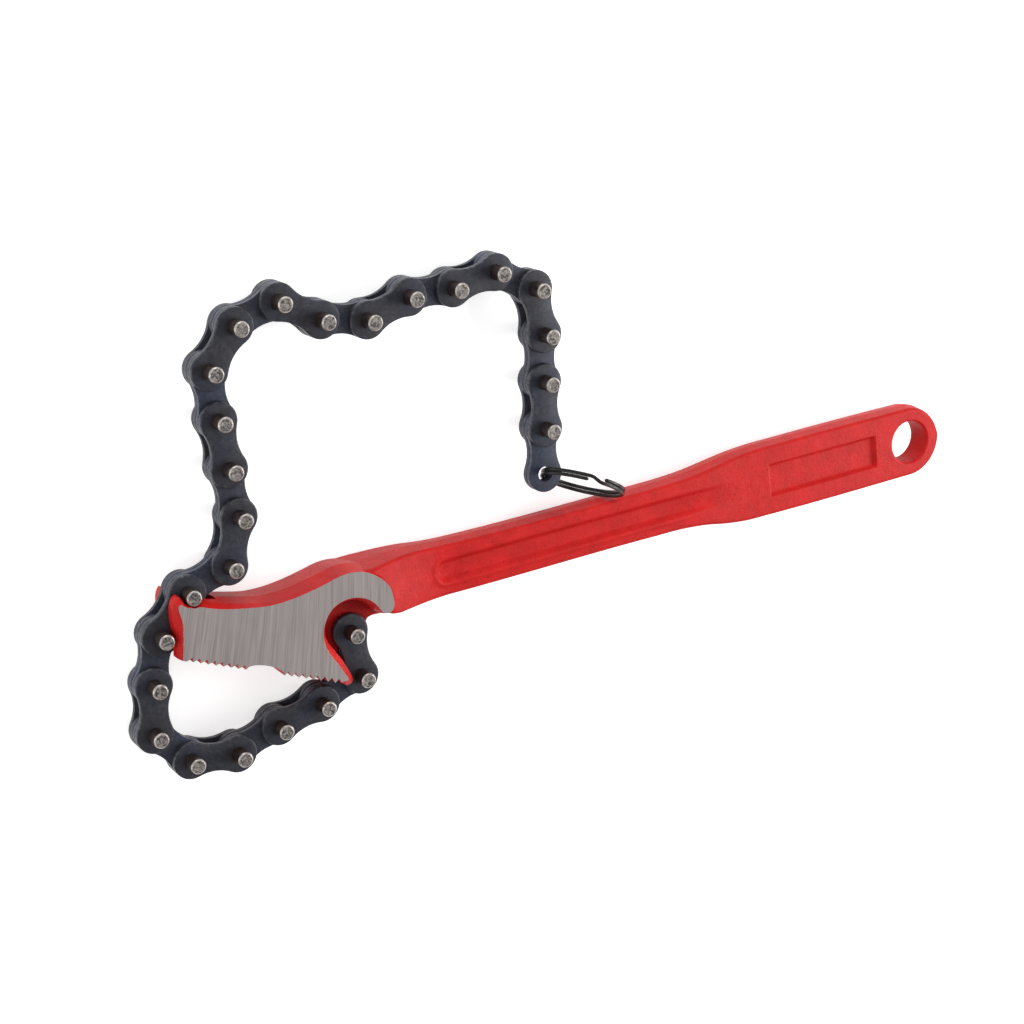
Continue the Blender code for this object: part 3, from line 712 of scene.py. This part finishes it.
def from_anchor(tree, index):
    """One axis of the Object coordinates, measured from the anchor pin's axis at half the thickness."""
    return combine(tree, "SUBTRACT", axis(tree, index), float(ANCHOR[index]))


def raise_bumps(tree, shader, heights):
    """A chain of bumps: (value, depth in metres, strength) each, into the shader's normal."""
    normal = None
    for value, depth, strength in heights:
        bump = tree.nodes.new("ShaderNodeBump")
        bump.inputs["Distance"].default_value = depth
        bump.inputs["Strength"].default_value = strength
        tree.links.new(value, bump.inputs["Height"])
        if normal is not None:
            tree.links.new(normal, bump.inputs["Normal"])
        normal = bump.outputs["Normal"]
    tree.links.new(normal, shader.inputs["Normal"])


def scaled(colour, factor):
    """A colour made lighter or darker."""
    return tuple(min(1.0, c * factor) for c in colour)


def paint_finish(looks, name, share):
    """Red paint over a cast skin: fine grain with lighter specks that are partly painted glints, thin and
    thick coats, and bare metal on the cheeks' rims, painted lighter as a highlight line.  The share makes it
    darker, as painted shade down in the pocket."""
    red = scaled(looks.red_paint, share)
    made, tree, shader = finish_base(name, red, looks.paint_roughness, 0.0)
    shader.inputs["Specular IOR Level"].default_value = 0.14
    coats = spread(tree, noise(tree, 160, 3.0, 0.55), 0.35, 0.68, 0.0, 1.0)
    colour = blend(tree, coats, scaled(red, 0.86), scaled(red, 1.06))
    grain = noise(tree, 2100, 2.0, 0.6)
    # Lighter red specks on the grain: partly the paint's own grain, partly painted glints off the orange
    # peel.
    speck_glints = spread(tree, grain, 0.58, 0.74, 0.0, 0.34)
    colour = blend(tree, speck_glints, colour, scaled((0.70, 0.05, 0.044), share))
    pits = spread(tree, noise(tree, 900, 1.0, 0.4), 0.68, 0.77, 0.0, 0.6)
    colour = blend(tree, pits, colour, scaled(red, 0.42))
    # A thin band just below the ground face's edge takes a light bare-metal colour: bare steel where the
    # grinding reached the bevel, made lighter than the ground cheeks as a painted highlight line.
    height = combine(tree, "ABSOLUTE", from_anchor(tree, 2), 0.0)
    chips = spread(tree, noise(tree, 1400, 2.0, 0.6), 0.3, 0.7, -0.00012, 0.00004)
    rim = spread(tree, combine(tree, "ADD", height, chips), 0.01040, 0.01046, 0.0, 1.0)
    colour = blend(tree, rim, colour, (0.42, 0.33, 0.31))
    tree.links.new(colour, shader.inputs["Base Color"])
    tree.links.new(spread(tree, grain, 0.3, 0.7, looks.paint_roughness - 0.06, looks.paint_roughness + 0.12),
                   shader.inputs["Roughness"])
    swell = noise(tree, 330, 2.0, 0.5)
    raise_bumps(tree, shader, [(swell, 0.00035, 0.4), (grain, 0.00018, 0.75)])
    return made


def ground_finish(looks):
    """Bare cheeks off a belt grinder: fine lines across the head that lean over towards its left end,
    as streaks of u = x - (0.155 - 3.2 x) y in metres, in lighter and darker bands."""
    steel = tuple(looks.ground_steel)
    made, tree, shader = finish_base("ground_steel", steel, 0.46, 0.3)
    x = from_anchor(tree, 0)
    y = from_anchor(tree, 1)
    lean = combine(tree, "SUBTRACT", 0.155, combine(tree, "MULTIPLY", x, 3.2))
    along = combine(tree, "SUBTRACT", x, combine(tree, "MULTIPLY", lean, y))
    streak = tree.nodes.new("ShaderNodeCombineXYZ")
    tree.links.new(along, streak.inputs["X"])
    tree.links.new(combine(tree, "MULTIPLY", y, 0.02), streak.inputs["Y"])
    tree.links.new(axis(tree, 2), streak.inputs["Z"])
    where = streak.outputs["Vector"]
    lines = noise(tree, 2600, 2.0, 0.6, where=where)
    bands = noise(tree, 520, 2.0, 0.6, where=where)
    stains = noise(tree, 120, 3.0, 0.6)
    colour = blend(tree, spread(tree, bands, 0.34, 0.66, 0.0, 1.0), scaled(steel, 0.90), scaled(steel, 1.07))
    colour = blend(tree, spread(tree, lines, 0.45, 0.75, 0.0, 0.55), colour, scaled(steel, 1.40))
    colour = blend(tree, spread(tree, lines, 0.44, 0.26, 0.0, 0.55), colour, scaled(steel, 0.62))
    colour = blend(tree, spread(tree, stains, 0.55, 0.75, 0.0, 0.18), colour, (0.23, 0.20, 0.18))
    tree.links.new(colour, shader.inputs["Base Color"])
    tree.links.new(spread(tree, lines, 0.3, 0.7, 0.38, 0.54), shader.inputs["Roughness"])
    raise_bumps(tree, shader, [(lines, 0.00004, 0.4)])
    return made


def blued_finish(looks):
    """Oxide skin on punched plates: blue-grey with warmer and darker clouds, paler in patches along
    the rims, partly as wear and partly as a painted highlight on the rounded edges, and brown with old oil
    low down between the plates."""
    blue = tuple(looks.blued_steel)
    made, tree, shader = finish_base("blued_steel", blue, 0.42, 0.35)
    shader.inputs["Specular IOR Level"].default_value = 0.4
    clouds = spread(tree, noise(tree, 190, 3.0, 0.6), 0.35, 0.66, 0.0, 1.0)
    height = combine(tree, "ABSOLUTE", from_anchor(tree, 2), 0.0)
    inner = spread(tree, height, 0.0021, 0.0022, 1.0, 0.0)
    tints = spread(tree, noise(tree, 60, 2.0, 0.5), 0.44, 0.68, 0.0, 0.8)
    blued = blend(tree, tints, scaled(blue, 1.05), (0.028, 0.042, 0.086))
    greyed = blend(tree, tints, (0.031, 0.031, 0.040), (0.030, 0.036, 0.060))
    colour = blend(tree, inner, greyed, blued)
    colour = blend(tree, combine(tree, "MULTIPLY", clouds, 0.5), colour, (0.044, 0.043, 0.048))
    # Lighter patches on the plates' rounded edges: partly wear, partly a painted highlight along the rims.
    rubbed = tree.nodes.new("ShaderNodeAttribute")
    rubbed.attribute_name = "rubbed"
    patchy = spread(tree, noise(tree, 800, 2.0, 0.6), 0.42, 0.66, 0.0, 1.0)
    wear_and_highlight = combine(tree, "MULTIPLY", rubbed.outputs["Fac"], patchy)
    colour = blend(tree, combine(tree, "MULTIPLY", wear_and_highlight, 0.45), colour, (0.13, 0.135, 0.15))
    flecks = spread(tree, noise(tree, 1700, 1.0, 0.5), 0.73, 0.79, 0.0, 0.5)
    colour = blend(tree, flecks, colour, (0.15, 0.145, 0.14))
    tree.links.new(colour, shader.inputs["Base Color"])
    tree.links.new(spread(tree, noise(tree, 420, 2.0, 0.6), 0.3, 0.7, 0.34, 0.55), shader.inputs["Roughness"])
    raise_bumps(tree, shader, [(noise(tree, 1900, 2.0, 0.6), 0.00006, 0.5)])
    return made


def pin_finishes(looks):
    """Three finishes of a pin: oiled brown side, a chamfer made bright partly as turned metal and partly as a
    painted highlight, and grey cut end with a torn middle.
    """
    side_colour = tuple(looks.pin_side)
    side, tree, shader = finish_base("pin_side", side_colour, 0.45, 0.4)
    rust = spread(tree, noise(tree, 650, 3.0, 0.6), 0.35, 0.7, 0.0, 1.0)
    colour = blend(tree, rust, scaled(side_colour, 0.7), scaled(side_colour, 1.6))
    tree.links.new(colour, shader.inputs["Base Color"])
    raise_bumps(tree, shader, [(noise(tree, 2200, 2.0, 0.6), 0.00005, 0.5)])
    end_colour = tuple(looks.pin_end)
    # The chamfer is two to nearly three times as light as the cut end: partly its turned bare metal, partly a
    # painted highlight round the pin's end.
    rim, tree, shader = finish_base("pin_chamfer", scaled(end_colour, 2.0), 0.36, 0.5)
    worn = spread(tree, noise(tree, 1300, 2.0, 0.5), 0.35, 0.65, 0.0, 1.0)
    colour = blend(tree, worn, scaled(end_colour, 1.3), scaled(end_colour, 2.7))
    tree.links.new(colour, shader.inputs["Base Color"])
    end, tree, shader = finish_base("pin_end", end_colour, 0.5, 0.4)
    torn = noise(tree, 760, 3.0, 0.7, distortion=1.0)
    patches = spread(tree, torn, 0.42, 0.58, 0.0, 1.0)
    colour = blend(tree, patches, scaled(end_colour, 0.24), scaled(end_colour, 1.35))
    tree.links.new(colour, shader.inputs["Base Color"])
    raise_bumps(tree, shader, [(torn, 0.00022, 0.9)])
    return side, rim, end


def wire_finish(looks):
    """Black wire with a faint rubbed shine."""
    black = tuple(looks.black_wire)
    made, tree, shader = finish_base("black_wire", black, 0.34, 0.5)
    rubs = spread(tree, noise(tree, 500, 3.0, 0.6), 0.55, 0.75, 0.0, 0.6)
    tree.links.new(blend(tree, rubs, black, (0.05, 0.048, 0.05)), shader.inputs["Base Color"])
    tree.links.new(spread(tree, noise(tree, 900, 2.0, 0.5), 0.3, 0.7, 0.28, 0.45), shader.inputs["Roughness"])
    raise_bumps(tree, shader, [(noise(tree, 1700, 2.0, 0.5), 0.00004, 0.5)])
    return made


def pin_rows():
    """Each link's number, first pin and heading in radians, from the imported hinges."""
    steps = np.diff(PINS, axis=0)
    headings = np.arctan2(steps[:, 1], steps[:, 0])
    return [(i + 1, PINS[i], headings[i]) for i in range(LINKS)]


def plate_outline(sizes):
    """The figure-of-eight outline: round ends on both pins, joined by waist arcs that touch them."""
    end = sizes.plate_end_radius
    rise = end - sizes.plate_waist / 2
    half = PITCH / 2
    reach = (half ** 2 - rise ** 2) / (2 * rise)
    waist = reach - sizes.plate_waist / 2
    tangent = math.degrees(math.atan2(reach, half))
    swing = 90 - tangent
    steps = sizes.outline_steps
    right = arc((PITCH, 0), end, -(180 - tangent), 180 - tangent, steps)
    top = arc((half, reach), waist, -90 + swing, -90 - swing, steps // 2)
    left = arc((0, 0), end, tangent, 360 - tangent, steps)
    bottom = arc((half, -reach), waist, 90 + swing, 90 - swing, steps // 2)
    return np.vstack([right, top[1:-1], left, bottom[1:-1]])


def plate_mesh(name, sizes, low, eases, bore, finish):
    """A punched plate on its own axis: the edge's profile carried along the outline, a quarter circle of
    its own size at the lower and at the upper face, and the flats filled between it and the bores.  The
    layer for the lightened edge is 1 on the rounding, 0.4 where it ends at a face, and 0 round the bores; the
    lightening is partly wear and partly a painted highlight along the rounded edge."""
    outline = plate_outline(sizes)
    normal = outward(outline)
    high = low + sizes.plate_thickness
    close = sizes.plate_thickness * 0.01
    turn = np.radians([0, 22, 45, 68, 90])
    inset = 1 - np.sin(turn)
    drop = 1 - np.cos(turn)
    levels = [(high - eases[1] * d, -eases[1] * i) for i, d in zip(inset, drop)]
    levels += [(low + eases[0] * d, -eases[0] * i) for i, d in zip(inset[::-1], drop[::-1])]
    count = len(outline)
    walls = [at_height(outline + normal * grow, z) for z, grow in levels]
    rubbed = np.ones((len(levels), count))
    rubbed[[0, -1]] = 0.4
    columns = 40
    bores = [at_height(circle((x, 0), bore, columns), z) for x in (0.0, PITCH) for z in (high, low)]
    faces = grid_faces(len(levels), count, 0)
    first = len(levels) * count
    for hole in range(2):
        faces = np.vstack([faces, grid_faces(2, columns, first + hole * 2 * columns)])
    mesh = bpy.data.meshes.new(name)
    mesh.from_pydata(np.vstack(walls + bores).tolist(), [], faces.tolist())
    worn = mesh.attributes.new("rubbed", "FLOAT", "POINT")
    worn.data.foreach_set("value", np.concatenate([rubbed.ravel(), np.zeros(4 * columns)]))
    bm = bmesh.new()
    bm.from_mesh(mesh)
    rims = [edge for edge in bm.edges if edge.is_boundary]
    for z in (high, low):
        edges = [edge for edge in rims if abs(edge.verts[0].co.z - z) < close]
        bmesh.ops.triangle_fill(bm, use_beauty=True, use_dissolve=False, edges=edges)
    bmesh.ops.recalc_face_normals(bm, faces=bm.faces)
    bm.to_mesh(mesh)
    bm.free()
    mesh.materials.append(finish)
    soften(mesh, 40)
    return mesh


def settle(mesh, pin, heading):
    """A mesh made along +X from its first pin, moved to that pin and turned to the link's heading."""
    turn = Matrix.Translation(Vector(pin)) @ Matrix.Rotation(float(heading), 4, "Z")
    mesh.transform(turn)


def piece_from(name, mesh, body, nodes):
    """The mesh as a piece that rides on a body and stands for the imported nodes."""
    made = add_object(name, mesh)
    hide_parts(*nodes)
    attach(made, body)
    return made


def pin_reach(sizes):
    """Height of a pin's cut end over the middle of the chain."""
    return sizes.plate_gap * 1.5 + sizes.plate_thickness * 2 + sizes.pin_stand_out


def pin_tubes(sizes):
    """Both pins of an outer link: a lathe profile of (radius, height) turned round each pin's axis, with
    a shallow dish in the cut end."""
    radius = sizes.pin_diameter / 2
    chamfer = sizes.pin_chamfer
    end = pin_reach(sizes)
    profile = np.array([
        (0.0002, end - 0.00010), (radius * 0.4, end - 0.00006), (radius - chamfer - 0.0002, end - 0.00002),
        (radius - chamfer, end - 0.00001), (radius - 0.6 * chamfer, end - 0.3 * chamfer),
        (radius - 0.15 * chamfer, end - 0.72 * chamfer), (radius, end - chamfer),
        (radius, end - chamfer - 0.0006), (radius, 0.001),
    ])
    profile = np.vstack([profile, profile[::-1] * (1, -1)])
    angle = np.linspace(0, 2 * np.pi, 36, endpoint=False)
    grids = []
    for x in (0.0, PITCH):
        ring_x = x + profile[:, :1] * np.cos(angle)
        ring_y = profile[:, :1] * np.sin(angle)
        ring_z = np.broadcast_to(profile[:, 1:], ring_x.shape)
        grids.append(np.stack([ring_x, ring_y, ring_z], axis=2)[::-1])
    return grids


def ring_grid(sizes):
    """The split ring's wire through the chain's end hole, in metres.  Its section is the rounded square
    |cos|^n + |sin|^n = 1 with n = RING_SQUARENESS, carried round two turns less the gap.  It lies on one
    side of the ring's plane in the first turn and on the other in the second, crosses over as a
    smoothstep of the angle, and tapers at its ends.  The ring's centre lies one radius from the hole,
    RING_ROLL up; the whole is then tipped about X and turned about Z."""
    thick = sizes.ring_wire
    middle = sizes.ring_diameter / 2 - thick / 2
    sweep = 720.0 - RING_GAP
    degrees = np.linspace(0, sweep, 260)
    cross = RING_GAP * 0.42
    side = 2 * smoothstep(degrees, sweep / 2 - cross, sweep / 2 + cross) - 1
    offset = side * (thick + 0.0001) / 2
    angle = np.radians(degrees + RING_START)[:, None]
    turn = np.linspace(0, 2 * np.pi, 20, endpoint=False)[None, :]
    n = RING_SQUARENESS
    squared = (np.abs(np.cos(turn)) ** n + np.abs(np.sin(turn)) ** n) ** (-1 / n)
    ends = np.minimum(degrees, sweep - degrees)[:, None]
    taper = np.sqrt(np.clip(ends / 1.2, 0.02, 1.0))
    along = squared * np.sin(turn) * thick / 2 * taper
    radius = middle + squared * np.cos(turn) * thick / 2 * taper
    grid = np.stack([radius * np.cos(angle), offset[:, None] + along, radius * np.sin(angle)], axis=2)
    roll = math.radians(RING_ROLL)
    grid = grid + np.array([middle * math.cos(roll), 0.0, middle * math.sin(roll)])
    heading = (Matrix.Rotation(math.radians(RING_TURN), 3, "Z")
               @ Matrix.Rotation(math.radians(RING_TIP), 3, "X"))
    return grid @ np.array(heading).T + PINS[-1]


class WRENCH_OT_forge_handle(bpy.types.Operator):
    """Forges the handle in red paint, with its ground cheeks, teeth, fork, web, groove and hang hole"""
    bl_idname = "wrench.forge_handle"
    bl_label = "Forge Handle"

    def execute(self, context):
        sizes = context.scene.wrench_sizes
        looks = context.scene.wrench_finishes
        half = sizes.head_thickness / MM / 2
        handle = shell("forged_handle", [head_loft(half)])
        cut(handle, [shell("shank", [shank_loft(sizes)]), shell("web", [web_loft(sizes)])], "UNION")
        seat = (PINS[HOOKED_PIN - 1] - ANCHOR)[:2] / MM
        pin = sizes.pin_diameter / MM / 2
        web = sizes.web_thickness / MM / 2
        spot = circle((0, 0), SPOT_RADIUS, 64)
        cut(handle, [
            jaw_cutter(sizes),
            fork_cutter(sizes),
            prism("seat", circle(seat, pin + SEAT_ROOM, 40), -half - 2, half + 2),
            prism("front_spot", spot, web, web + SPOT_DEPTH),
            prism("rear_spot", spot, -web - SPOT_DEPTH, -web),
            prism("anchor_bore", circle((0, 0), pin + ANCHOR_ROOM, 40), -half, half),
            hole_cutter(sizes),
            *link_cutters(sizes),
        ])
        mesh = handle.data
        if len(mesh.polygons) < 5000:
            raise RuntimeError("the forging came out empty")
        mesh.materials.clear()
        mesh.materials.append(paint_finish(looks, "red_paint", 1.0))
        mesh.materials.append(ground_finish(looks))
        # The pocket's paint is the red at 0.62 of its lightness: painted shade on the web down in the pocket.
        mesh.materials.append(paint_finish(looks, "pocket_paint", 0.62))
        height = face_values(mesh, "center")[:, 2] - ANCHOR[2]
        flat = np.abs(face_values(mesh, "normal")[:, 2]) > 0.999
        bare = flat & (np.abs(np.abs(height) - half * MM) < 1e-5)
        # Flat faces near half the thickness, the web in the pocket, take the darker paint as painted shade.
        in_pocket_shade = flat & (np.abs(height) < sizes.web_thickness * 0.6)
        mesh.polygons.foreach_set("material_index", (bare + 2 * in_pocket_shade).astype(np.int32))
        soften(mesh, 13)
        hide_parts("handle")
        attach(handle, "handle")
        return {"FINISHED"}


class WRENCH_OT_stamp_plates(bpy.types.Operator):
    """Stamps the plates of every link and sets them on their pins"""
    bl_idname = "wrench.stamp_plates"
    bl_label = "Stamp Link Plates"

    def execute(self, context):
        sizes = context.scene.wrench_sizes
        steel = blued_finish(context.scene.wrench_finishes)
        thick = sizes.plate_thickness
        gap = sizes.plate_gap
        edge = sizes.plate_edge
        burr = sizes.plate_burr
        inner_low = gap / 2
        outer_low = gap * 1.5 + thick
        free = sizes.pin_diameter / 2 + 0.00012
        tight = sizes.pin_diameter / 2 + 0.00002
        for number, pin, heading in pin_rows():
            label = f"link_{number:02d}"
            if number % 2:
                kinds = (("outer_front_plate", outer_low, (burr, edge), tight, "pinned_plate"),
                         ("outer_rear_plate", -outer_low - thick, (edge, burr), tight, "rear_plate"))
            else:
                kinds = (("inner_front_plate", inner_low, (edge, burr), free, "front_plate"),
                         ("inner_rear_plate", -inner_low - thick, (burr, edge), free, "back_plate"))
            for kind, low, eases, bore, node in kinds:
                mesh = plate_mesh(f"{label}_{kind}", sizes, low, eases, bore, steel)
                settle(mesh, pin, heading)
                piece_from(f"{label}_{kind}", mesh, label, [f"{label}_{node}"])
        return {"FINISHED"}


class WRENCH_OT_turn_pins(bpy.types.Operator):
    """Turns the chain pins, two to each outer link, with chamfered ends"""
    bl_idname = "wrench.turn_pins"
    bl_label = "Turn Chain Pins"

    def execute(self, context):
        sizes = context.scene.wrench_sizes
        side, rim, end = pin_finishes(context.scene.wrench_finishes)
        radius = sizes.pin_diameter / 2
        chamfer = sizes.pin_chamfer
        for number, pin, heading in pin_rows():
            if number % 2 == 0:
                continue
            label = f"link_{number:02d}"
            mesh = shell_mesh(f"{label}_pins", pin_tubes(sizes))
            for finish in (side, rim, end):
                mesh.materials.append(finish)
            centres = face_values(mesh, "center")
            from_axis = np.minimum(np.hypot(centres[:, 0], centres[:, 1]),
                                   np.hypot(centres[:, 0] - PITCH, centres[:, 1]))
            kind = np.zeros(len(centres), np.int32)
            high = np.abs(centres[:, 2]) > pin_reach(sizes) - chamfer
            kind[high] = 1
            kind[high & (from_axis < radius - chamfer)] = 2
            mesh.polygons.foreach_set("material_index", kind)
            soften(mesh, 50)
            settle(mesh, pin, heading)
            piece_from(f"{label}_pins", mesh, label, [f"{label}_pinned_plate"])
        return {"FINISHED"}


class WRENCH_OT_wind_ring(bpy.types.Operator):
    """Winds the split ring of two turns through the chain's end hole"""
    bl_idname = "wrench.wind_ring"
    bl_label = "Wind Split Ring"

    def execute(self, context):
        mesh = shell_mesh("split_ring_wire", [ring_grid(context.scene.wrench_sizes)])
        mesh.materials.append(wire_finish(context.scene.wrench_finishes))
        soften(mesh, 55)
        piece_from("split_ring_wire", mesh, "split_ring", ["split_ring"])
        return {"FINISHED"}


class WRENCH_OT_set_stage(bpy.types.Operator):
    """Lays the pale floor, hangs the soft lights and sets the camera"""
    bl_idname = "wrench.set_stage"
    bl_label = "Set Stage"

    def execute(self, context):
        looks = context.scene.wrench_finishes
        floor_mesh = bpy.data.meshes.new("floor")
        square = ((-1, -1), (1, -1), (1, 1), (-1, 1))
        corners = [(x * FLOOR_REACH, y * FLOOR_REACH, FLOOR_Z) for x, y in square]
        floor_mesh.from_pydata(corners, [], [(0, 1, 2, 3)])
        floor = add_object("floor", floor_mesh)
        pale, tree, shader = finish_base("floor", tuple(looks.floor), 0.9, 0.0)
        shader.inputs["Specular IOR Level"].default_value = 0.0
        glow = tree.nodes.new("ShaderNodeEmission")
        glow.inputs["Color"].default_value = (1.0, 1.0, 1.0, 1.0)
        rays = tree.nodes.new("ShaderNodeLightPath")
        seen = combine(tree, "ADD", rays.outputs["Is Camera Ray"], rays.outputs["Is Glossy Ray"])
        seen = combine(tree, "ADD", seen, rays.outputs["Is Transmission Ray"])
        strength = combine(tree, "MULTIPLY", combine(tree, "MINIMUM", seen, 1.0), FLOOR_GLOW)
        tree.links.new(strength, glow.inputs["Strength"])
        both = tree.nodes.new("ShaderNodeAddShader")
        output = next(node for node in tree.nodes if node.type == "OUTPUT_MATERIAL")
        tree.links.new(shader.outputs["BSDF"], both.inputs[0])
        tree.links.new(glow.outputs["Emission"], both.inputs[1])
        tree.links.new(both.outputs["Shader"], output.inputs["Surface"])
        floor_mesh.materials.append(pale)

        world = context.scene.world or bpy.data.worlds.new("studio")
        context.scene.world = world
        world.use_nodes = True
        backdrop = next(node for node in world.node_tree.nodes if node.type == "BACKGROUND")
        backdrop.inputs["Color"].default_value = (1.0, 1.0, 1.0, 1.0)
        backdrop.inputs["Strength"].default_value = ROOM_GLOW

        for name, place_at, size, power in LAMPS:
            lamp = bpy.data.lights.new(name, "AREA")
            lamp.shape = "SQUARE"
            lamp.size = size
            lamp.energy = power
            light = add_object(name, lamp)
            aim = Vector(LAMP_AIM) - Vector(place_at)
            light.matrix_world = (Matrix.Translation(Vector(place_at))
                                  @ aim.to_track_quat("-Z", "Y").to_matrix().to_4x4())

        lens = bpy.data.cameras.new("camera")
        lens.lens = CAMERA_LENS
        lens.sensor_width = 36.0
        lens.sensor_fit = "HORIZONTAL"
        lens.clip_start = 0.01
        lens.clip_end = 20.0
        camera = add_object("camera", lens)
        camera.matrix_world = Matrix.Translation(CAMERA_PLACE) @ Matrix(CAMERA_TURN).to_4x4()
        context.scene.camera = camera
        context.scene.view_settings.view_transform = "Standard"
        return {"FINISHED"}


STEPS = (WRENCH_OT_forge_handle, WRENCH_OT_stamp_plates, WRENCH_OT_turn_pins, WRENCH_OT_wind_ring,
         WRENCH_OT_set_stage)


class WRENCH_PT_panel(bpy.types.Panel):
    """Lists the wrench's building steps"""
    bl_idname = "WRENCH_PT_panel"
    bl_label = "Chain Pipe Wrench"
    bl_space_type = "VIEW_3D"
    bl_region_type = "UI"
    bl_category = "Wrench"

    def draw(self, context):
        for step in STEPS:
            self.layout.operator(step.bl_idname)
        for group in (context.scene.wrench_sizes, context.scene.wrench_finishes):
            box = self.layout.box()
            for name in group.__annotations__:
                box.prop(group, name)


CLASSES = (WrenchSizes, WrenchFinishes) + STEPS + (WRENCH_PT_panel,)


def register():
    for cls in CLASSES:
        bpy.utils.register_class(cls)
    bpy.types.Scene.wrench_sizes = PointerProperty(type=WrenchSizes)
    bpy.types.Scene.wrench_finishes = PointerProperty(type=WrenchFinishes)


def unregister():
    del bpy.types.Scene.wrench_finishes
    del bpy.types.Scene.wrench_sizes
    for cls in reversed(CLASSES):
        bpy.utils.unregister_class(cls)


def main():
    """Registers the classes and runs each step in order."""
    register()
    bpy.ops.wrench.forge_handle()
    bpy.ops.wrench.stamp_plates()
    bpy.ops.wrench.turn_pins()
    bpy.ops.wrench.wind_ring()
    bpy.ops.wrench.set_stage()


if __name__ == "__main__":
    main()
